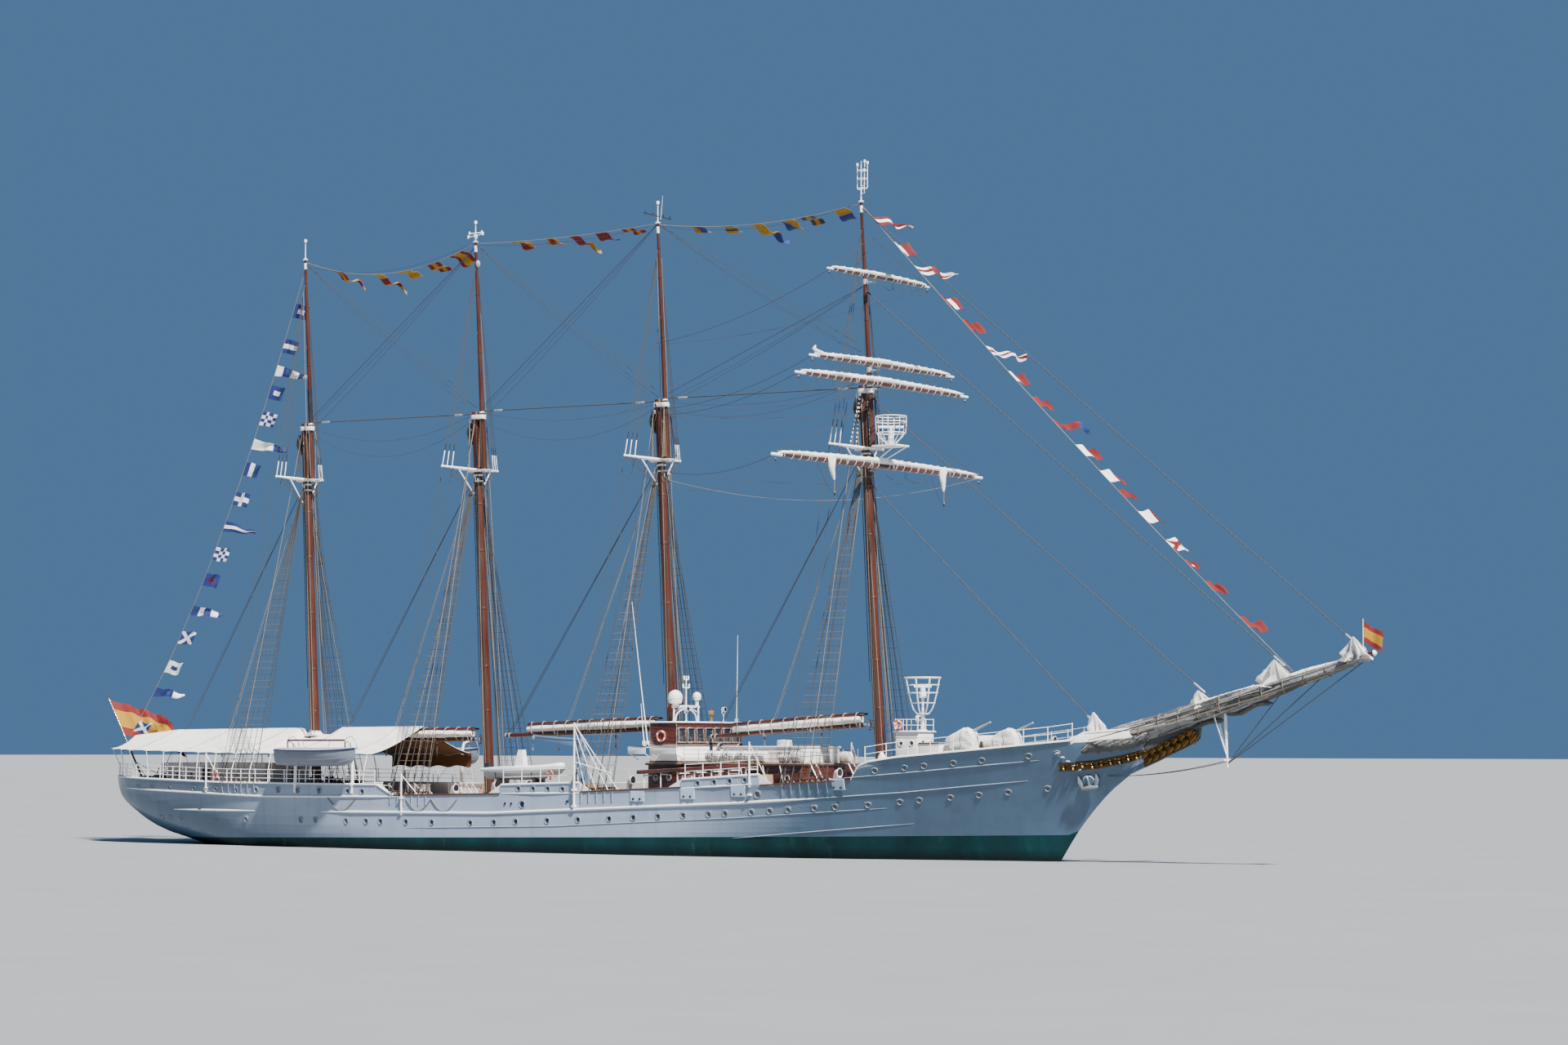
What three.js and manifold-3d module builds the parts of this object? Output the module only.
// Four-masted topsail schooner, scale model at 1:10.
// Every size below is the full-size ship's, in metres, and the group at the end is scaled to the model's
// millimetres. +X runs to the bow, +Y to port, +Z up. The origin is amidships on the waterline.
import * as THREE from "three";
import { mergeVertices } from "three/addons/utils/BufferGeometryUtils.js";
import Module from "manifold-3d";

const wasm = await Module();
wasm.setup();

// Scale and clearances
const MODEL_SCALE = 10;
const MODEL_MM_PER_METRE = 1000 / MODEL_SCALE;
const SEAT = 0.003;
const PIN_PLAY = 0.003;
const MAST_IN_AWNING = 0.16;

// Hull
const DRAUGHT = 6.95;
const BULWARK = 0.15;
const LOFT_TOP = 1.2;
const SECTION_STEPS = 7;
const DEADWOOD_HALF = 0.28;

// Masts
const MAST_RAKE = THREE.MathUtils.degToRad(3.3);
const RAKE_DIR = new THREE.Vector3(-Math.sin(MAST_RAKE), 0, Math.cos(MAST_RAKE));
const MAST_DATUM_Z = 7;
const LOWER_MAST_R = 0.4;
const MAST_HEAD_R = 0.3;
const TOPMAST_R = 0.2;
const TRUCK_R = 0.1;
const TOPMAST_FORWARD = 0.62;
const TOP_Z = 29.3;
const CAP_Z = 33.4;
const CAP_HEIGHT = 0.35;
const TRUCK_Z = 47.1;

// Booms and gaffs
const BOOM_R = 0.19;
const GAFF_R = 0.15;
const PIN_R = 0.08;
const PIN_BEHIND_MAST = 0.78;
const SAIL_ON_BOOM = 0.44;

// Yards
const TRUSS_AHEAD = 0.8;
const YARD_AHEAD_OF_PIN = 0.46;

// Colours and finishes
const FINISHES = {
  hull_white: { color: 0xdfe3e8, roughness: 0.45, metalness: 0 },
  house_white: { color: 0xe8e8e4, roughness: 0.5, metalness: 0 },
  spar_brown: { color: 0x7d3b22, roughness: 0.5, metalness: 0 },
  varnish: { color: 0x5a2110, roughness: 0.3, metalness: 0 },
  canvas: { color: 0xe9e7e0, roughness: 0.9, metalness: 0 },
  grey_canvas: { color: 0x8d8a83, roughness: 0.9, metalness: 0 },
  gilt: { color: 0x8a6a2a, roughness: 0.4, metalness: 0.8 },
  bronze: { color: 0x9a7440, roughness: 0.35, metalness: 1 },
  steel_grey: { color: 0x77808a, roughness: 0.5, metalness: 0.4 },
  wire: { color: 0x55524c, roughness: 0.6, metalness: 0.5 },
  crane_blue: { color: 0x7c8ea4, roughness: 0.5, metalness: 0 },
  boat_grey: { color: 0x9aa0a6, roughness: 0.6, metalness: 0 },
};

// Solids: joining and cutting closed meshes
function toManifold(geometry) {
  const bare = new THREE.BufferGeometry();
  bare.setAttribute("position", geometry.getAttribute("position"));
  if (geometry.index) {
    bare.setIndex(geometry.index);
  }
  const merged = mergeVertices(bare, 1e-5);
  return new wasm.Manifold(new wasm.Mesh({
    numProp: 3,
    vertProperties: new Float32Array(merged.getAttribute("position").array),
    triVerts: new Uint32Array(merged.index.array),
  }));
}

function fromManifold(manifold) {
  const mesh = manifold.getMesh();
  const geometry = new THREE.BufferGeometry();
  geometry.setAttribute("position", new THREE.BufferAttribute(mesh.vertProperties, 3));
  geometry.setIndex(new THREE.BufferAttribute(mesh.triVerts, 1));
  return geometry;
}

function join(...geometries) {
  return fromManifold(geometries.map(toManifold).reduce((sum, next) => sum.add(next)));
}

function cut(body, ...tools) {
  return fromManifold(tools.map(toManifold).reduce((rest, tool) => rest.subtract(tool), toManifold(body)));
}

function shifted(geometry, x, y, z) {
  return geometry.clone().translate(x, y, z);
}

function mirrored(geometry) {
  const flipped = mergeVertices(geometry.clone().deleteAttribute("normal").deleteAttribute("uv"), 1e-6);
  flipped.scale(1, -1, 1);
  const index = flipped.index.array;
  for (let i = 0; i < index.length; i += 3) {
    [index[i], index[i + 1]] = [index[i + 1], index[i]];
  }
  return flipped;
}

// Plain shapes
function at(x, y, z) {
  return new THREE.Vector3(x, y, z);
}

// A box between two corners
function box(x0, x1, y0, y1, z0, z1) {
  const shape = new THREE.BoxGeometry(x1 - x0, y1 - y0, z1 - z0);
  return shape.translate((x0 + x1) / 2, (y0 + y1) / 2, (z0 + z1) / 2);
}

// A round rod from a to b, of radius ra at a and rb at b
function rod(a, b, ra, rb = ra, sides = 8) {
  const length = a.distanceTo(b);
  const shape = new THREE.CylinderGeometry(rb, ra, length, sides);
  const along = new THREE.Vector3().subVectors(b, a).normalize();
  shape.applyQuaternion(new THREE.Quaternion().setFromUnitVectors(at(0, 1, 0), along));
  return shape.translate((a.x + b.x) / 2, (a.y + b.y) / 2, (a.z + b.z) / 2);
}

// Radius of a hole whose flats clear a round pin at every turn
function boreFor(pinRadius, sides) {
  return (pinRadius + PIN_PLAY) / Math.cos(Math.PI / sides);
}

// A round pipe along a smooth curve through the points
function pipe(points, radius, steps, sides = 6) {
  const ring = new THREE.Shape();
  for (let i = 0; i < sides; i += 1) {
    const angle = (2 * Math.PI * i) / sides;
    const place = [radius * Math.cos(angle), radius * Math.sin(angle)];
    if (i === 0) {
      ring.moveTo(...place);
    } else {
      ring.lineTo(...place);
    }
  }
  ring.closePath();
  const extrudePath = new THREE.CatmullRomCurve3(points);
  return new THREE.ExtrudeGeometry(ring, { steps, bevelEnabled: false, extrudePath });
}

// A side profile in X and Z, extruded across from y0 to y1
function profile(points, y0, y1) {
  const shape = new THREE.Shape(points.map(([x, z]) => new THREE.Vector2(x, z)));
  const geometry = new THREE.ExtrudeGeometry(shape, { depth: y1 - y0, bevelEnabled: false });
  return geometry.rotateX(Math.PI / 2).translate(0, y1, 0);
}

// A skin over closed rings of equal count, from stern to bow; seen from the bow, each runs anticlockwise.
// Each four-cornered patch is split along its shorter diagonal, so both sides of the ship come out alike.
function loft(rings) {
  const count = rings[0].length;
  const corners = rings.flat();
  const positions = corners.flatMap((point) => [point.x, point.y, point.z]);
  const index = [];
  for (let r = 0; r + 1 < rings.length; r += 1) {
    for (let i = 0; i < count; i += 1) {
      const a = r * count + i;
      const b = r * count + ((i + 1) % count);
      const [c, d] = [b + count, a + count];
      if (corners[a].distanceTo(corners[c]) < corners[b].distanceTo(corners[d])) {
        index.push(a, b, c, a, c, d);
      } else {
        index.push(a, b, d, b, c, d);
      }
    }
  }
  const first = THREE.ShapeUtils.triangulateShape(rings[0].map((p) => new THREE.Vector2(p.y, p.z)), []);
  const lastStart = (rings.length - 1) * count;
  const last = THREE.ShapeUtils.triangulateShape(rings.at(-1).map((p) => new THREE.Vector2(p.y, p.z)), []);
  first.forEach(([a, b, c]) => index.push(a, c, b));
  last.forEach(([a, b, c]) => index.push(lastStart + a, lastStart + b, lastStart + c));
  const geometry = new THREE.BufferGeometry();
  geometry.setAttribute("position", new THREE.Float32BufferAttribute(positions, 3));
  geometry.setIndex(index);
  return geometry;
}

// Values between the rows of a table, by straight lines
function between(table, x, column) {
  const last = table.length - 1;
  if (x <= table[0].x) {
    return table[0][column];
  }
  for (let i = 0; i < last; i += 1) {
    if (x <= table[i + 1].x) {
      const t = (x - table[i].x) / (table[i + 1].x - table[i].x);
      return THREE.MathUtils.lerp(table[i][column], table[i + 1][column], t);
    }
  }
  return table[last][column];
}

const group = new THREE.Group();

function add(name, finish, geometry) {
  const mesh = new THREE.Mesh(geometry, new THREE.MeshStandardMaterial(FINISHES[finish]));
  mesh.name = name;
  group.add(mesh);
  return geometry;
}

// Hull
// Sections from stern to bow: keel height, then half breadth and height at the floor, the side and the rail
const SECTIONS = [
  [-47.3, 4.2, 0.3, 4.25, 0.5, 4.6, 0.6, 5.36],
  [-46.6, 3.4, 1.3, 3.6, 2.2, 4.3, 2.5, 5.33],
  [-44.4, 2.2, 2.3, 2.5, 3.9, 3.5, 4.4, 5.3],
  [-41.3, 0.8, 2.5, 1.1, 4.6, 2.4, 5.4, 5.2],
  [-37.5, -0.2, 2.4, 0.2, 5.0, 1.6, 5.9, 5.1],
  [-33.0, -2.2, 1.9, -1.1, 5.1, 0.6, 6.2, 5.0],
  [-28.0, -4.6, 2.0, -2.9, 5.5, -0.4, 6.4, 4.95],
  [-20.0, -6.4, 2.4, -5.0, 6.0, -0.6, 6.5, 4.9],
  [-8.0, -6.95, 3.2, -5.9, 6.4, -1.2, 6.55, 4.3],
  [8.0, -6.95, 3.2, -5.9, 6.4, -1.2, 6.55, 4.6],
  [18.0, -6.95, 2.4, -5.6, 5.6, -0.8, 6.45, 5.0],
  [26.0, -6.6, 1.5, -5.0, 4.5, 0.0, 6.0, 5.45],
  [32.0, -5.7, 0.9, -4.0, 3.0, 0.6, 5.3, 7.1],
  [37.0, -3.9, 0.6, -2.3, 1.9, 1.6, 4.2, 7.6],
  [41.0, -1.6, 0.35, -0.4, 1.2, 3.2, 3.1, 8.0],
  [44.0, 2.4, 0.2, 3.0, 0.9, 4.9, 2.2, 8.5],
  [46.2, 4.75, 0.15, 5.2, 0.6, 6.6, 1.45, 8.95],
  [48.2, 6.3, 0.12, 6.6, 0.3, 7.6, 0.75, 9.1],
  [49.4, 7.7, 0.1, 7.8, 0.16, 8.3, 0.25, 9.2],
].map(([x, keel, floorY, floorZ, sideY, sideZ, railY, railZ]) => (
  { x, keel, floorY, floorZ, sideY, sideZ, railY, railZ }
));

// The sheer as seen from the side: steps at the two islands, the poop and the forecastle
const SHEER = [
  [-47.5, 5.38], [-30.6, 4.96], [-14.6, 4.9], [-13.0, 4.1], [-2.35, 4.3], [-2.3, 4.98], [5.2, 5.2],
  [5.25, 4.5], [14.5, 4.9], [14.55, 5.48], [21.25, 5.88], [21.3, 5.1], [28.6, 5.5], [29.5, 6.72],
  [32.1, 7.12], [38.3, 7.7], [44.3, 8.3], [44.9, 8.8], [49.6, 9.2],
];

const SHEER_ROWS = SHEER.map(([x, z]) => ({ x, z }));

// Decks inside the bulwarks, each with its floor height and the least width left for the islands
// x | floor | inset
const DECKS = {
  poop: [[-46.0, 4.45, 0], [-30.0, 4.05, 0], [-14.8, 4.0, 0]],
  waist: [[-14.9, 2.9, 0], [-2.5, 2.9, 0], [-2.4, 2.9, 2.3], [5.3, 3.2, 2.3], [5.4, 3.2, 0], [14.4, 3.6, 0],
    [14.5, 3.6, 1.6], [21.3, 4.0, 1.6], [21.4, 4.0, 0], [29.2, 4.4, 0]],
  forecastle: [[29.1, 5.9, 0], [38.3, 6.85, 0], [44.3, 7.4, 0], [47.6, 7.8, 0]],
};

function hullRing(row) {
  const curve = new THREE.SplineCurve([
    new THREE.Vector2(0, row.keel),
    new THREE.Vector2(row.floorY, row.floorZ),
    new THREE.Vector2(row.sideY, row.sideZ),
    new THREE.Vector2(row.railY, row.railZ),
  ]);
  const half = curve.getPoints(SECTION_STEPS).slice(1);
  half.push(new THREE.Vector2(row.railY, row.railZ + LOFT_TOP));
  const port = half.map((point) => at(row.x, point.x, point.y));
  const starboard = half.map((point) => at(row.x, -point.x, point.y)).reverse();
  return [at(row.x, 0, row.keel), ...port, ...starboard];
}

function deckFloor(deck, x) {
  return between(DECKS[deck].map(([rowX, floor]) => ({ x: rowX, floor })), x, "floor");
}

// Half breadth of the hull at a station's height, read off its section curve
function halfAtSection(row, z) {
  const ring = hullRing(row).slice(1, SECTION_STEPS + 2);
  for (let i = 0; i + 1 < ring.length; i += 1) {
    if (z <= ring[i + 1].z) {
      const t = THREE.MathUtils.clamp((z - ring[i].z) / (ring[i + 1].z - ring[i].z), 0, 1);
      return THREE.MathUtils.lerp(ring[i].y, ring[i + 1].y, t);
    }
  }
  return row.railY;
}

function halfBreadth(x, z) {
  const next = Math.max(1, SECTIONS.findIndex((row) => row.x >= x));
  const [aft, fore] = [SECTIONS[next - 1], SECTIONS[next]];
  const t = THREE.MathUtils.clamp((x - aft.x) / (fore.x - aft.x), 0, 1);
  return THREE.MathUtils.lerp(halfAtSection(aft, z), halfAtSection(fore, z), t);
}

// The space over a deck: as wide as the hull at each height, less the bulwark
function deckWell(deck) {
  const top = 12;
  const rows = DECKS[deck].map(([x, floor, inset]) => ({ x, floor, inset }));
  const first = rows[0].x;
  const last = rows.at(-1).x;
  const stations = [...rows.map((row) => row.x), ...SECTIONS.map((row) => row.x)]
    .filter((x, i, all) => x >= first && x <= last && all.indexOf(x) === i)
    .sort((a, b) => a - b);
  return loft(stations.map((x) => {
    const floor = between(rows, x, "floor");
    const less = BULWARK + between(rows, x, "inset");
    const heights = [floor, floor + 0.6, floor + 1.5];
    const half = heights.map((z) => [halfBreadth(x, z) - less, z]);
    half.push([half.at(-1)[0], top]);
    const port = half.map(([y, z]) => at(x, y, z));
    const starboard = half.map(([y, z]) => at(x, -y, z)).reverse();
    return [...port, ...starboard];
  }));
}

function sheerCut() {
  const top = 14;
  const wide = 9;
  return profile([...SHEER, [49.6, top], [-47.5, top]], -wide, wide);
}

// Bowsprit: its axis rises forward through the bulwark
const SPRIT_HEEL = at(44.2, 0, 8.05);
const SPRIT_TIP = at(66.1, 0, 14.0);
const SPRIT_HEEL_R = 0.38;
const SPRIT_TIP_R = 0.17;

function bowspritRod(extra = 0) {
  return rod(SPRIT_HEEL, SPRIT_TIP, SPRIT_HEEL_R + extra, SPRIT_TIP_R + extra, 12);
}

// Everything over the bowsprit's axis
function overBowsprit() {
  const high = 20;
  return profile([
    [SPRIT_HEEL.x, SPRIT_HEEL.z], [SPRIT_TIP.x, SPRIT_TIP.z], [SPRIT_TIP.x, high], [SPRIT_HEEL.x, high],
  ], -2, 2);
}

// Stern gear: propeller in its aperture, then the rudder on the sternpost line
const SHAFT_Z = -4.2;
const DEADWOOD_AFT = -33.6;
const RUDDER_AXIS_X = -36.6;
const STOCK_R = 0.21;
const HEEL_PIN_R = 0.11;
const STOCK_SIDES = 18;
const SHOE_TOP = -6.45;

function hullBody() {
  const shell = loft(SECTIONS.map(hullRing));
  const deadwood = profile([
    [DEADWOOD_AFT, -DRAUGHT], [-6, -DRAUGHT], [-6, -6.2], [-26, -4], [DEADWOOD_AFT, -1.4],
  ], -DEADWOOD_HALF, DEADWOOD_HALF);
  const shoe = profile([
    [-37.1, -DRAUGHT], [-33, -DRAUGHT], [-33, SHOE_TOP], [-37.1, SHOE_TOP],
  ], -DEADWOOD_HALF, DEADWOOD_HALF);
  const [tubeRoot, tubeEnd] = [DEADWOOD_AFT + 1, DEADWOOD_AFT - 0.35].map((x) => at(x, 0, SHAFT_Z));
  const shaftTube = rod(tubeRoot, tubeEnd, 0.42, 0.34, 12);
  const [pinFoot, pinHead] = [SHOE_TOP - 0.2, SHOE_TOP + 0.3].map((z) => at(RUDDER_AXIS_X, 0, z));
  const heelPin = rod(pinFoot, pinHead, HEEL_PIN_R, HEEL_PIN_R, STOCK_SIDES);
  const whole = join(shell, deadwood, shoe, shaftTube, heelPin);
  const bore = boreFor(STOCK_R, STOCK_SIDES);
  const stockHole = rod(at(RUDDER_AXIS_X, 0, -1.2), at(RUDDER_AXIS_X, 0, 2.2), bore, bore, STOCK_SIDES);
  const wells = Object.keys(DECKS).map(deckWell);
  return cut(whole, sheerCut(), ...wells, stockHole, bowspritRod(SEAT));
}

const hull = add("hull", "hull_white", hullBody());

// A piece let down into the hull keeps only what stands clear of it
function seatedOnHull(geometry) {
  return cut(geometry, hull, shifted(hull, 0, 0, SEAT));
}

// Rudder: balanced blade, stock and heel socket
function rudder() {
  const blade = profile([
    [-36.2, -6.3], [-38.9, -6.1], [-38.7, -2.6], [-37.6, -1.0], [-36.2, -1.45],
  ], -0.16, 0.16);
  const [stockFoot, stockHead] = [-6.3, 1.9].map((z) => at(RUDDER_AXIS_X, 0, z));
  const stock = rod(stockFoot, stockHead, STOCK_R, STOCK_R, STOCK_SIDES);
  const socket = rod(at(RUDDER_AXIS_X, 0, -6.39), at(RUDDER_AXIS_X, 0, -6.1), 0.3, 0.3, 12);
  const bore = boreFor(HEEL_PIN_R, STOCK_SIDES);
  const heelHole = rod(at(RUDDER_AXIS_X, 0, -6.5), at(RUDDER_AXIS_X, 0, -6.12), bore, bore, STOCK_SIDES);
  return cut(join(blade, stock, socket), heelHole);
}

// Propeller: three blades on a boss, right-handed
const BLADES = 3;
const BLADE_PITCH = 0.55;

function propeller() {
  const aft = DEADWOOD_AFT - 0.35;
  const boss = rod(at(aft - SEAT, 0, SHAFT_Z), at(aft - 0.9, 0, SHAFT_Z), 0.33, 0.16, 12);
  const blades = Array.from({ length: BLADES }, (unused, i) => {
    const blade = new THREE.CylinderGeometry(0.62, 0.62, 0.09, 12).rotateZ(Math.PI / 2);
    blade.rotateZ(BLADE_PITCH).translate(0, 0, 0.85).rotateX((2 * Math.PI * i) / BLADES);
    return blade.translate(aft - 0.45, 0, SHAFT_Z);
  });
  return join(boss, ...blades);
}

add("rudder", "hull_white", rudder());
add("propeller", "bronze", propeller());

// Bow: bowsprit, beakhead with its figure, dolphin striker, anchors
add("bowsprit", "spar_brown", bowspritRod());

function beakhead() {
  const knee = profile([
    [48.1, 6.0], [49.0, 6.5], [51.0, 7.35], [52.9, 8.15], [53.3, 8.9], [52.9, 9.6], [49.35, 9.6],
    [49.35, 7.75], [48.1, 6.3],
  ], -0.24, 0.24);
  const figure = new THREE.SphereGeometry(0.42, 8, 6).scale(1, 0.85, 1.3).translate(53.1, 0, 8.85);
  return cut(join(knee, figure), hull, shifted(hull, SEAT, 0, -SEAT), bowspritRod(SEAT), overBowsprit());
}
add("beakhead", "gilt", beakhead());

const STRIKER_TOP = at(55.1, 0, 11.0);
const STRIKER_FOOT = at(55.3, 0, 6.5);

function dolphinStriker() {
  const spar = rod(STRIKER_TOP, STRIKER_FOOT, 0.1, 0.07);
  const crossbar = rod(at(55.27, -0.4, 7.0), at(55.27, 0.4, 7.0), 0.06);
  return cut(join(spar, crossbar), bowspritRod(SEAT), overBowsprit());
}
add("dolphin_striker", "house_white", dolphinStriker());

// A stockless anchor hove up into its hawse, crown and flukes against the plating
const HAWSE = { x: 45.0, z: 5.5, lean: 0.55 };

function anchor() {
  const y = halfBreadth(HAWSE.x, HAWSE.z);
  const pipeEnd = at(HAWSE.x, y + 0.28, HAWSE.z - 0.1);
  const bolster = rod(at(HAWSE.x, y - 0.6, HAWSE.z + 0.1), pipeEnd, 0.34, 0.34, 10);
  const crown = box(-0.62, 0.62, -0.16, 0.2, -0.42, -0.02);
  const flukes = [-1, 1].map((side) => (
    rod(at(0.42 * side, 0.02, -0.3), at(0.62 * side, 0.02, 0.62), 0.18, 0.05, 6)
  ));
  const head = join(crown, ...flukes).rotateX(-HAWSE.lean).translate(HAWSE.x, y + 0.36, HAWSE.z - 0.15);
  return cut(join(bolster, head), hull, shifted(hull, 0, SEAT, 0));
}
const portAnchor = add("anchor_port", "steel_grey", anchor());
add("anchor_starboard", "steel_grey", mirrored(portAnchor));

// Masts, from aft: place at the datum height, and half span of the crosstrees
const MASTS = [
  { name: "mizzen", x: -26.98, deck: "poop", spread: 2.7 },
  { name: "main_aft", x: -8.98, deck: "waist", spread: 3.3 },
  { name: "main_forward", x: 8.92, deck: "waist", spread: 3.4 },
  { name: "fore", x: 27.4, deck: "waist", spread: 3.4 },
];
const FOREMAST = MASTS[3];

function mastAxis(mast, z, forward = 0) {
  return at(mast.x - (z - MAST_DATUM_Z) * Math.tan(MAST_RAKE) + forward, 0, z);
}

function lowerRod(mast, extra = 0) {
  const foot = deckFloor(mast.deck, mast.x) - 0.3;
  const head = mastAxis(mast, CAP_Z + 0.4);
  return rod(mastAxis(mast, foot), head, LOWER_MAST_R + extra, MAST_HEAD_R + extra, 12);
}

function topmastRod(mast, extra = 0) {
  const heel = mastAxis(mast, TOP_Z + SEAT - extra, TOPMAST_FORWARD);
  const truck = mastAxis(mast, TRUCK_Z, TOPMAST_FORWARD);
  return rod(heel, truck, TOPMAST_R + extra, TRUCK_R + extra, 10);
}

// A joint pin through a lug, both square to the raked mast
function pinAt(place, low, high, radius, sides = 10) {
  const [foot, head] = [low, high].map((along) => place.clone().addScaledVector(RAKE_DIR, along));
  return rod(foot, head, radius, radius, sides);
}

// A box whose height runs along the raked mast
function rakedBox(place, x0, x1, y0, y1, z0, z1) {
  return box(x0, x1, y0, y1, z0, z1).rotateY(-MAST_RAKE).translate(place.x, place.y, place.z);
}

// Booms, from aft: height at the mast and at the far end, and how far the boom reaches
const BOOMS = [
  { name: "mizzen", z: 8.32, endZ: 8.2, length: 14.4 },
  { name: "main_aft", z: 8.42, endZ: 8.335, length: 14.6 },
  { name: "main_forward", z: 9.2, endZ: 8.7, length: 15.2 },
  { name: "fore", z: 9.45, endZ: 8.6, length: 14.0 },
];

function boomPin(boom, mast) {
  return mastAxis(mast, boom.z).add(at(-PIN_BEHIND_MAST, 0, 0));
}

// Gooseneck on the mast: two lugs with the pin between them
function gooseneck(boom, mast) {
  const place = boomPin(boom, mast);
  const lugs = [0.2, -0.3].map((z) => rakedBox(place, -0.16, PIN_BEHIND_MAST, -0.16, 0.16, z, z + 0.1));
  return join(...lugs, pinAt(place, -0.25, 0.25, PIN_R));
}

// Yards, from below: height at the mast, half length, radius at the slings, height of the furled sail,
// and how far the spar that carries the truss stands forward of the lower mast
const YARDS = [
  ["fore", 27.9, 13.4, 0.2, 0.42, false, 0],
  ["lower_topsail", 33.75, 11.0, 0.17, 0.36, false, TOPMAST_FORWARD],
  ["upper_topsail", 35.1, 9.2, 0.15, 0.34, true, TOPMAST_FORWARD],
  ["topgallant", 41.5, 6.5, 0.13, 0.28, true, TOPMAST_FORWARD],
].map(([name, z, half, radius, sail, onTopmast, forward]) => (
  { name, z, half, radius, sail, onTopmast, forward }
));

function trussPin(yard) {
  return mastAxis(FOREMAST, yard.z, yard.forward + TRUSS_AHEAD);
}

// Truss on the mast: an arm under the yard's lug, and the pin that the lug turns on
function truss(yard) {
  const place = trussPin(yard);
  const arm = rakedBox(place, -TRUSS_AHEAD, 0.13, -0.12, 0.12, -0.32, -0.16);
  return join(arm, pinAt(place, -0.3, 0.14, PIN_R));
}

// Foremast radar platform, on the fore side just over the fore yard
const RADAR = { x: 28.3, seat: 29.7, reach: 0.95, half: 0.07, low: 0.9, high: 1.08, turned: 35 };

function lowerMast(mast, boom) {
  const parts = [lowerRod(mast), gooseneck(boom, mast)];
  const top = mastAxis(mast, TOP_Z);
  parts.push(box(top.x - 0.7, top.x + 1.15, -0.6, 0.6, TOP_Z - 0.18, TOP_Z));
  [-1, 1].forEach((side) => {
    const tip = at(top.x - 0.8, side * mast.spread, TOP_Z + 0.12);
    parts.push(rod(at(top.x + 0.2, side * 0.3, TOP_Z - 0.05), tip, 0.11, 0.08, 6));
    parts.push(rod(at(top.x - 0.5, side * 0.3, TOP_Z - 0.05), tip, 0.08, 0.07, 6));
  });
  const cap = mastAxis(mast, CAP_Z);
  const [capLow, capHigh] = [CAP_Z - CAP_HEIGHT / 2, CAP_Z + CAP_HEIGHT / 2];
  parts.push(box(cap.x - 0.42, cap.x + TOPMAST_FORWARD + 0.36, -0.36, 0.36, capLow, capHigh));
  if (mast === FOREMAST) {
    parts.push(box(top.x + 1.1, RADAR.x + 1.1, -0.85, 0.85, TOP_Z - 0.06, TOP_Z + 0.1));
    parts.push(rod(at(RADAR.x, 0, TOP_Z), at(RADAR.x, 0, RADAR.seat), 0.26, 0.2, 10));
    YARDS.filter((yard) => !yard.onTopmast).forEach((yard) => parts.push(truss(yard)));
  }
  return cut(seatedOnHull(join(...parts)), topmastRod(mast, SEAT));
}

MASTS.forEach((mast, i) => {
  add(`mast_${mast.name}`, "spar_brown", lowerMast(mast, BOOMS[i]));
});

function topmast(mast) {
  const parts = [topmastRod(mast)];
  if (mast === FOREMAST) {
    YARDS.filter((yard) => yard.onTopmast).forEach((yard) => parts.push(truss(yard)));
    const head = mastAxis(mast, TRUCK_Z - 0.1, TOPMAST_FORWARD);
    parts.push(rod(head, at(head.x, 0, 50.1), 0.07, 0.05));
  }
  return join(...parts);
}

MASTS.forEach((mast) => {
  add(`topmast_${mast.name}`, "spar_brown", topmast(mast));
});

// The scanner bar lies across the view from the starboard bow, and turns on its hub
function radarScanner() {
  const { x, reach, half, low, high, turned } = RADAR;
  const seat = RADAR.seat + SEAT;
  const hub = rod(at(0, 0, seat), at(0, 0, seat + low + 0.05), 0.2, 0.12, 10);
  const bar = box(-reach, reach, -half, half, seat + low, seat + high);
  return join(hub, bar).rotateZ(THREE.MathUtils.degToRad(turned)).translate(x, 0, 0);
}
add("radar_scanner", "house_white", radarScanner());

// Boom and gaff of one sail, stowed one over the other, with the furled sail lying between them
const BOOM_HEEL = 0.45;
const GAFF_HEEL = 0.6;
const GAFF_SHARE = 0.86;

function boomLine(boom, pin, behind) {
  return at(pin.x - behind, 0, THREE.MathUtils.lerp(boom.z, boom.endZ, behind / boom.length));
}

function spars(boom, mast) {
  const pin = boomPin(boom, mast);
  const rise = at(0, 0, BOOM_R + SAIL_ON_BOOM + GAFF_R + 2 * SEAT);
  const heel = boomLine(boom, pin, BOOM_HEEL);
  const end = boomLine(boom, pin, boom.length);
  const gaffHeel = boomLine(boom, pin, GAFF_HEEL).add(rise);
  const gaffPeak = boomLine(boom, pin, boom.length * GAFF_SHARE).add(rise);
  const eye = join(
    rakedBox(pin, -0.6, 0, -0.13, 0.13, -0.14, 0.14),
    pinAt(pin, -0.14, 0.14, 0.16, 12),
  );
  const jaws = box(gaffHeel.x - 0.2, gaffHeel.x + 0.05, -0.1, 0.1, boom.z, gaffHeel.z);
  const boomRod = rod(heel, end, BOOM_R, BOOM_R * 0.8, 10);
  const gaffRod = rod(gaffHeel, gaffPeak, GAFF_R, GAFF_R * 0.7, 10);
  return cut(join(boomRod, gaffRod, eye, jaws), pinAt(pin, -0.5, 0.5, boreFor(PIN_R, 10)));
}

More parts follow.
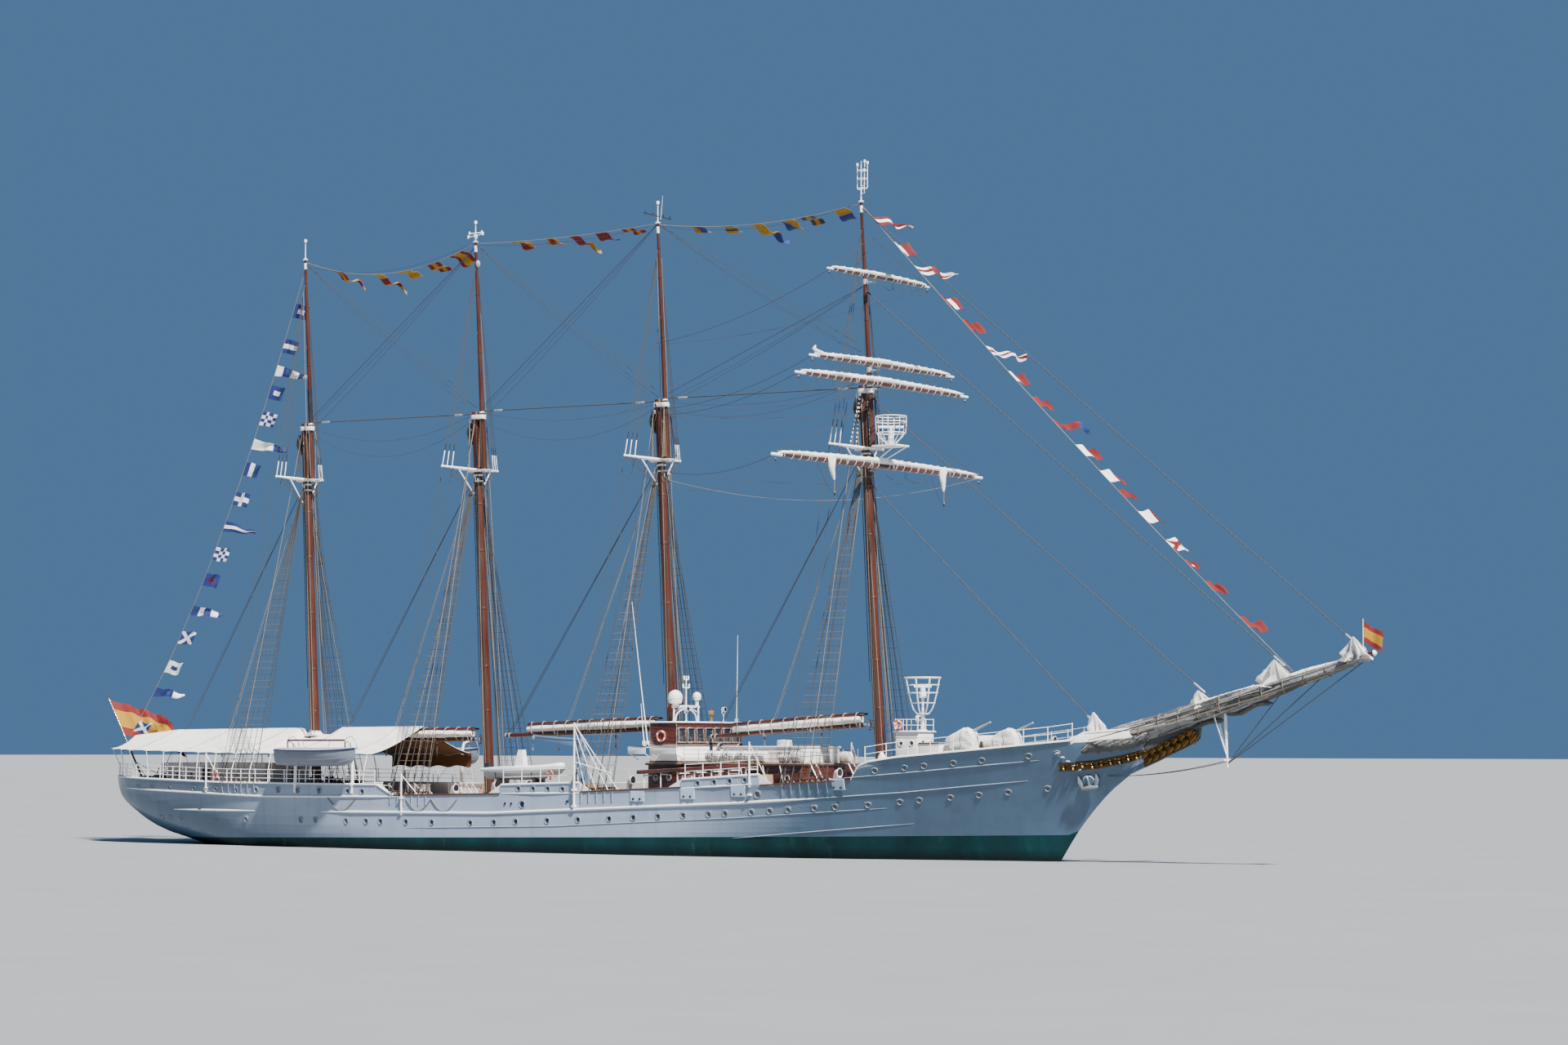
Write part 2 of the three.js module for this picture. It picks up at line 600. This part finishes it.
// The furled sail: full at the luff and middle, thin at the leech, flat where it meets the spars
function furledSail(boom, mast) {
  const pin = boomPin(boom, mast);
  const stations = [
    { t: 0.06, wide: 0.3 }, { t: 0.2, wide: 0.42 }, { t: 0.5, wide: 0.38 }, { t: 0.84, wide: 0.26 },
  ];
  return loft(stations.map(({ t, wide }) => {
    const { x, z } = boomLine(boom, pin, boom.length * t);
    const low = z + BOOM_R + SEAT;
    const high = low + SAIL_ON_BOOM;
    const half = [
      [wide * 0.5, low], [wide, low + 0.14], [wide * 0.9, low + 0.28], [wide * 0.45, high - SEAT],
    ];
    const port = half.map(([y, z]) => at(x, y, z));
    const starboard = half.map(([y, z]) => at(x, -y, z)).reverse();
    return [...port, ...starboard];
  }).reverse());
}

BOOMS.forEach((boom, i) => {
  add(`spars_${boom.name}`, "spar_brown", spars(boom, MASTS[i]));
});
BOOMS.forEach((boom, i) => {
  add(`sail_${boom.name}`, "canvas", furledSail(boom, MASTS[i]));
});

// A yard tapers to its arms, and its lug reaches back to the truss pin
function yardBody(yard) {
  const pin = trussPin(yard);
  const centre = at(pin.x + YARD_AHEAD_OF_PIN, 0, pin.z);
  const arms = [-1, 1].map((side) => rod(
    at(centre.x, -0.01 * side, centre.z), at(centre.x, side * yard.half, centre.z),
    yard.radius, yard.radius * 0.5, 8,
  ));
  const lug = join(
    rakedBox(pin, 0, YARD_AHEAD_OF_PIN, -0.13, 0.13, -0.1, 0.1),
    pinAt(pin, -0.1, 0.1, 0.15, 12),
  );
  return cut(join(...arms, lug), pinAt(pin, -0.5, 0.5, boreFor(PIN_R, 10)));
}

// The square sail furled along the top of its yard, lofted along X and then turned across the ship
function yardSail(yard) {
  const pin = trussPin(yard);
  const stations = [-0.93, -0.5, 0, 0.5, 0.93];
  return loft(stations.map((t) => {
    const base = yard.radius * (1 - 0.5 * Math.abs(t)) + SEAT;
    const fat = yard.sail * (1.15 - 0.5 * Math.abs(t));
    const half = [[fat * 0.35, base], [fat * 0.6, base + fat * 0.45], [fat * 0.35, base + fat]];
    const left = half.map(([y, z]) => at(t * yard.half, y, z));
    const right = half.map(([y, z]) => at(t * yard.half, -y, z)).reverse();
    return [...left, ...right];
  })).rotateZ(Math.PI / 2).translate(pin.x + YARD_AHEAD_OF_PIN, 0, pin.z);
}

YARDS.forEach((yard) => {
  add(`yard_${yard.name}`, "spar_brown", yardBody(yard));
});
YARDS.forEach((yard) => {
  add(`square_sail_${yard.name}`, "canvas", yardSail(yard));
});

// Deckhouses
function houseOn(x0, x1, half, top) {
  return seatedOnHull(box(x0, x1, -half, half, 2.4, top));
}
add("aft_house", "house_white", houseOn(-41.0, -30.0, 2.6, 6.5));

// Middle house: the long lower part is widest under the bridge, and a shorter upper part stands forward
const MIDDLE_TOP = 6.7;

function middleHouse() {
  const underBridge = box(9.6, 12.4, -4.1, 4.1, 2.4, MIDDLE_TOP);
  const lower = box(9.7, 23.0, -3.6, 3.6, 2.4, MIDDLE_TOP);
  const upper = box(15.2, 22.2, -2.5, 2.5, MIDDLE_TOP - 0.1, 7.9);
  return seatedOnHull(join(underBridge, lower, upper));
}
const middle = add("middle_house", "house_white", middleHouse());

// Bridge house: a shell of varnished planks around the fore side of the mast, open to the deck below it
const BRIDGE = { aft: 9.75, fore: 12.2, half: 4.0, top: 9.7, wall: 0.12, sill: 8.2, head: 9.2 };

// Bridge doors: flat leaves over the doorways in the aft wall, hinged at their outboard edges
const DOOR = { y: 3.1, half: 0.42, thick: 0.06, top: 8.75, bottom: 6.8 };

function bridgeHouse() {
  const { aft, fore, half, top, wall, sill, head } = BRIDGE;
  const outside = box(aft, fore, -half, half, MIDDLE_TOP + SEAT, top);
  const inside = box(aft + wall, fore - wall, wall - half, half - wall, MIDDLE_TOP - 1, top - wall);
  const frontWindows = [-3.3, -2.2, -1.1, 0, 1.1, 2.2, 3.3].map((y) => (
    box(fore - 0.5, fore + 0.5, y - 0.4, y + 0.4, sill, head)
  ));
  const clear = DOOR.half - 0.06;
  const doorways = [-1, 1].map((side) => {
    const y = side * DOOR.y;
    return box(aft - 0.5, aft + 0.5, y - clear, y + clear, MIDDLE_TOP + 0.15, DOOR.top - 0.06);
  });
  return cut(outside, inside, ...frontWindows, ...doorways);
}
add("bridge_house", "varnish", bridgeHouse());

function bridgeDoor() {
  const { y, half, thick, top, bottom } = DOOR;
  const aft = BRIDGE.aft - SEAT;
  const leaf = box(aft - thick, aft, y - half, y + half, bottom, top);
  const window = box(aft - 1, aft + 1, y - 0.22, y + 0.22, 7.9, 8.5);
  return cut(leaf, window);
}
const portDoor = add("bridge_door_port", "varnish", bridgeDoor());
add("bridge_door_starboard", "varnish", mirrored(portDoor));

// Forward house on the forecastle, before the foremast
add("forward_house", "house_white", houseOn(29.3, 31.3, 1.05, 9.0));

// Antenna cage over the forward house: a mast with an open basket of hoops and bars
const CAGE = { x: 31.0, seat: 9.0, low: 10.2, high: 12.75, lowR: 0.45, highR: 1.3, bars: 8 };

function antennaCage() {
  const { x, seat, low, high, lowR, highR, bars } = CAGE;
  const parts = [rod(at(x, 0, seat + SEAT), at(x, 0, low + 1.1), 0.16, 0.1)];
  parts.push(rod(at(x, 0, low - 0.06), at(x, 0, low + 0.06), lowR + 0.05, lowR + 0.05, 12));
  for (let i = 0; i < bars; i += 1) {
    const angle = (2 * Math.PI * i) / bars;
    const next = angle + (2 * Math.PI) / bars;
    const onHoop = (r, z, a) => at(x + r * Math.cos(a), r * Math.sin(a), z);
    parts.push(rod(onHoop(lowR, low, angle), onHoop(highR, high, angle), 0.035, 0.035, 5));
    [0.5, 1].forEach((t) => {
      const r = THREE.MathUtils.lerp(lowR, highR, t);
      const z = THREE.MathUtils.lerp(low, high, t);
      parts.push(rod(onHoop(r, z, angle), onHoop(r, z, next), 0.035, 0.035, 5));
    });
  }
  return join(...parts);
}
add("antenna_cage", "house_white", antennaCage());

// Radome frame on the bridge roof: two posts, a cross beam and two domes
function radomeFrame() {
  const seat = BRIDGE.top + SEAT;
  const x = 10.05;
  const parts = [box(x - 0.08, x + 0.08, -1.7, 1.7, 10.75, 10.9)];
  [-1.5, 1.5].forEach((y) => parts.push(rod(at(x, y, seat), at(x, y, 10.8), 0.08)));
  [{ y: -1.33, r: 0.54, z: 11.5 }, { y: 1.33, r: 0.32, z: 11.6 }].forEach(({ y, r, z }) => {
    parts.push(rod(at(x, y, 10.8), at(x, y, z), 0.2));
    parts.push(new THREE.SphereGeometry(r, 10, 8).rotateX(Math.PI / 2).translate(x, y, z));
  });
  return join(...parts);
}
add("radome_frame", "house_white", radomeFrame());

// Boats: whalers in their davits and the work boat on the island
function boatShell(stations) {
  return loft(stations.map(({ x, half, keel, rail }) => {
    const mid = THREE.MathUtils.lerp(keel, rail, 0.35);
    const side = [[half * 0.72, mid], [half, rail]];
    const port = side.map(([y, z]) => at(x, y, z));
    const starboard = side.map(([y, z]) => at(x, -y, z)).reverse();
    return [at(x, 0, keel), ...port, ...starboard];
  }));
}

const WHALER = { x: -20.2, y: 7.3, keel: 6.3 };
const DAVIT_REACH = 3.0;

function whaler() {
  const shell = boatShell([
    { x: -4.05, half: 0.46, keel: 0.08, rail: 1.26 },
    { x: -2.4, half: 0.82, keel: 0, rail: 1.2 },
    { x: 0.6, half: 0.92, keel: 0, rail: 1.18 },
    { x: 2.6, half: 0.66, keel: 0.04, rail: 1.24 },
    { x: 3.6, half: 0.3, keel: 0.22, rail: 1.32 },
    { x: 4.05, half: 0.05, keel: 0.62, rail: 1.38 },
  ]);
  return shell.translate(WHALER.x, WHALER.y, WHALER.keel);
}

// Davits: curved arms from the poop bulwark, a spar between their heads, and the falls down to the boat
function davits() {
  const y = WHALER.y;
  const fallTop = 8.3;
  const fallFoot = WHALER.keel + 1.05;
  const parts = [];
  [-DAVIT_REACH, DAVIT_REACH].forEach((dx) => {
    const x = WHALER.x + dx;
    const rail = between(SHEER_ROWS, x, "z") + SEAT;
    const foot = at(x, halfBreadth(x, rail) - BULWARK / 2, rail);
    const arm = [foot, at(x, foot.y, 6.0), at(x, foot.y, 7.4), at(x, 6.65, 8.15), at(x, y, fallTop)];
    parts.push(pipe(arm, 0.11, 10));
    parts.push(rod(at(x, y, fallTop + 0.1), at(x, y, fallFoot), 0.05, 0.05, 6));
  });
  const ends = [-DAVIT_REACH, DAVIT_REACH].map((dx) => at(WHALER.x + dx, y, fallTop));
  parts.push(rod(...ends, 0.08));
  const boat = whaler();
  return cut(join(...parts), boat, shifted(boat, 0, 0, SEAT));
}
const portDavits = add("davits_port", "house_white", davits());
add("davits_starboard", "house_white", mirrored(portDavits));
const portWhaler = add("whaler_port", "house_white", whaler());
add("whaler_starboard", "house_white", mirrored(portWhaler));

// Work boat with an inflated collar, on its chocks on the starboard island
const WORK_BOAT = { x: -0.9, y: -5.2, chock: 5.0 };

function workBoat() {
  const shell = boatShell([
    { x: -3.7, half: 1.05, keel: 0.35, rail: 1.2 },
    { x: 1.6, half: 1.1, keel: 0.35, rail: 1.25 },
    { x: 3.0, half: 0.7, keel: 0.6, rail: 1.4 },
    { x: 3.8, half: 0.12, keel: 1.0, rail: 1.55 },
  ]);
  const chocks = [-2.3, 1.2].map((x) => box(x - 0.15, x + 0.15, -0.6, 0.6, -0.6, 0.55));
  const steeringStand = box(-0.9, 0.1, -0.35, 0.35, 1.1, 2.0);
  const whole = join(shell, ...chocks, steeringStand).translate(WORK_BOAT.x, WORK_BOAT.y, WORK_BOAT.chock);
  return seatedOnHull(whole);
}
add("work_boat", "boat_grey", workBoat());

// Crane: a post on the island, and the jib slewing on top of it, stowed pointing aft
const CRANE = { x: 4.35, y: -5.2, foot: 4.8, seat: 8.0, reach: 4.6 };

function cranePost() {
  const { x, y, foot, seat } = CRANE;
  return seatedOnHull(join(
    box(x - 0.3, x + 0.3, y - 0.3, y + 0.3, foot, seat - 0.5),
    rod(at(x, y, seat - 0.6), at(x, y, seat), 0.36, 0.36, 12),
  ));
}

function craneJib() {
  const { x, y, seat, reach } = CRANE;
  const z = seat + SEAT;
  const arm = [[x + 0.3, z + 0.1], [x + 0.3, z + 0.4], [x - reach, z + 0.62], [x - reach, z + 0.4]];
  return join(rod(at(x, y, z), at(x, y, z + 0.45), 0.36, 0.3, 12), profile(arm, y - 0.14, y + 0.14));
}
add("crane_post", "crane_blue", cranePost());
add("crane_jib", "crane_blue", craneJib());

// Saluting guns under canvas covers, barrels up and forward
const GUN = { x: 36.1, y: 2.8, half: 0.6 };

function gun() {
  const { x, y, half } = GUN;
  const deck = deckFloor("forecastle", x);
  const pedestal = rod(at(x, y, deck - 0.3), at(x, y, deck + 1.0), 0.5, 0.45, 10);
  const side = [[-1.1, 0.8], [1.1, 0.8], [0.9, 2.45], [0.35, 2.6], [-1.05, 1.9]];
  const cover = profile(side.map(([dx, dz]) => [x + dx, deck + dz]), y - half, y + half);
  const barrel = rod(at(x + 0.6, y, deck + 2.2), at(x + 2.3, y, deck + 2.95), 0.09, 0.06);
  return seatedOnHull(join(pedestal, cover, barrel));
}
const portGun = add("gun_port", "canvas", gun());
add("gun_starboard", "canvas", mirrored(portGun));

// Ensign staff, leaning aft over the taffrail
add("ensign_staff", "varnish", seatedOnHull(rod(at(-46.35, 0, 4.3), at(-50.6, 0, 11.9), 0.09, 0.05)));

// Awning over the poop: a ridge over the two after booms, low between them around the mizzen mast
const AWNING = [
  { x: -47.3, ridge: 8.72, edge: 7.55, half: 2.9 },
  { x: -42.4, ridge: 9.19, edge: 7.45, half: 5.5 },
  { x: -30.0, ridge: 9.3, edge: 7.2, half: 6.0 },
  { x: -28.38, ridge: 9.308, edge: 7.2, half: 6.0 },
  { x: -27.6, ridge: 8.78, edge: 7.2, half: 6.0 },
  { x: -25.2, ridge: 8.78, edge: 7.19, half: 6.0 },
  { x: -24.2, ridge: 9.35, edge: 7.18, half: 6.0 },
  { x: -15.7, ridge: 9.4, edge: 7.17, half: 6.0 },
];
const AWNING_THICK = 0.05;

function awning() {
  const sheet = loft(AWNING.map(({ x, ridge, edge, half }) => [
    at(x, 0, ridge - AWNING_THICK), at(x, half, edge - AWNING_THICK), at(x, half, edge),
    at(x, 0, ridge), at(x, -half, edge), at(x, -half, edge - AWNING_THICK),
  ]));
  const mastHole = lowerRod(MASTS[0], MAST_IN_AWNING);
  return cut(sheet, mastHole);
}
add("awning", "canvas", awning());

// Furled headsails and their netting: on top of the bowsprit at its heel, and all around it further out
const HEADSAILS = [
  { t: 0.25, wide: 0.36, up: 0.5, down: 0 }, { t: 0.42, wide: 0.56, up: 0.78, down: 0 },
  { t: 0.43, wide: 0.56, up: 0.78, down: 0.4 }, { t: 0.7, wide: 0.46, up: 0.66, down: 0.42 },
  { t: 0.92, wide: 0.3, up: 0.45, down: 0.3 },
];

function headsails() {
  const along = new THREE.Vector3().subVectors(SPRIT_TIP, SPRIT_HEEL).normalize();
  const length = SPRIT_HEEL.distanceTo(SPRIT_TIP);
  const bundle = loft(HEADSAILS.map(({ t, wide, up, down }) => {
    const centre = SPRIT_HEEL.clone().addScaledVector(along, length * t);
    const half = [
      [wide * 0.6, -down], [wide, up * 0.1], [wide * 0.8, up * 0.65], [wide * 0.35, up],
    ].map(([y, rise]) => [y, centre.z + rise]);
    const port = half.map(([y, z]) => at(centre.x, y, z));
    return [...port, ...half.map(([y, z]) => at(centre.x, -y, z)).reverse()];
  }));
  const strikerHole = rod(STRIKER_TOP, STRIKER_FOOT, 0.1 + SEAT, 0.07 + SEAT);
  return cut(bundle, bowspritRod(SEAT), strikerHole, hull, shifted(hull, 0, 0, SEAT));
}
add("headsails", "grey_canvas", headsails());

// Main stays: from the foremast to the bow, and from cap to cap
const STAY_R = 0.04;
const FORESTAYS = [
  { name: "fore_stay", from: 27.0, forward: 0, toX: 46.0, toZ: 8.6 },
  { name: "jib_stay", from: 33.0, forward: TOPMAST_FORWARD, toX: 54.4, toZ: 10.9 },
  { name: "outer_jib_stay", from: 40.7, forward: TOPMAST_FORWARD, toX: 60.4, toZ: 12.6 },
  { name: "flying_jib_stay", from: 46.7, forward: TOPMAST_FORWARD, toX: 65.7, toZ: 13.95 },
];

// Everything under the bowsprit's axis
function underBowsprit() {
  const low = -5;
  return profile([
    [SPRIT_HEEL.x, low], [SPRIT_TIP.x, low], [SPRIT_TIP.x, SPRIT_TIP.z], [SPRIT_HEEL.x, SPRIT_HEEL.z],
  ], -2, 2);
}

FORESTAYS.forEach(({ name, from, forward, toX, toZ }) => {
  const line = rod(mastAxis(FOREMAST, from, forward), at(toX, 0, toZ), STAY_R, STAY_R, 6);
  const sails = headsails();
  const ends = [lowerRod(FOREMAST, SEAT), topmastRod(FOREMAST, SEAT), bowspritRod(SEAT), underBowsprit()];
  add(name, "wire", cut(line, ...ends, sails, shifted(sails, 0, 0, SEAT), shifted(sails, 0, 0, -0.2), hull));
});

const CAP_STAYS = [
  { name: "cap_stay_aft", aft: 0 },
  { name: "cap_stay_middle", aft: 1 },
  { name: "cap_stay_forward", aft: 2 },
];

CAP_STAYS.forEach(({ name, aft }) => {
  const [behind, ahead] = [MASTS[aft], MASTS[aft + 1]];
  const z = CAP_Z + 0.45;
  const line = rod(mastAxis(behind, z, TOPMAST_FORWARD), mastAxis(ahead, z - 0.2), STAY_R, STAY_R, 6);
  add(name, "wire", cut(line, topmastRod(behind, SEAT), lowerRod(behind, SEAT), lowerRod(ahead, SEAT)));
});

group.scale.setScalar(MODEL_MM_PER_METRE);

export default group;
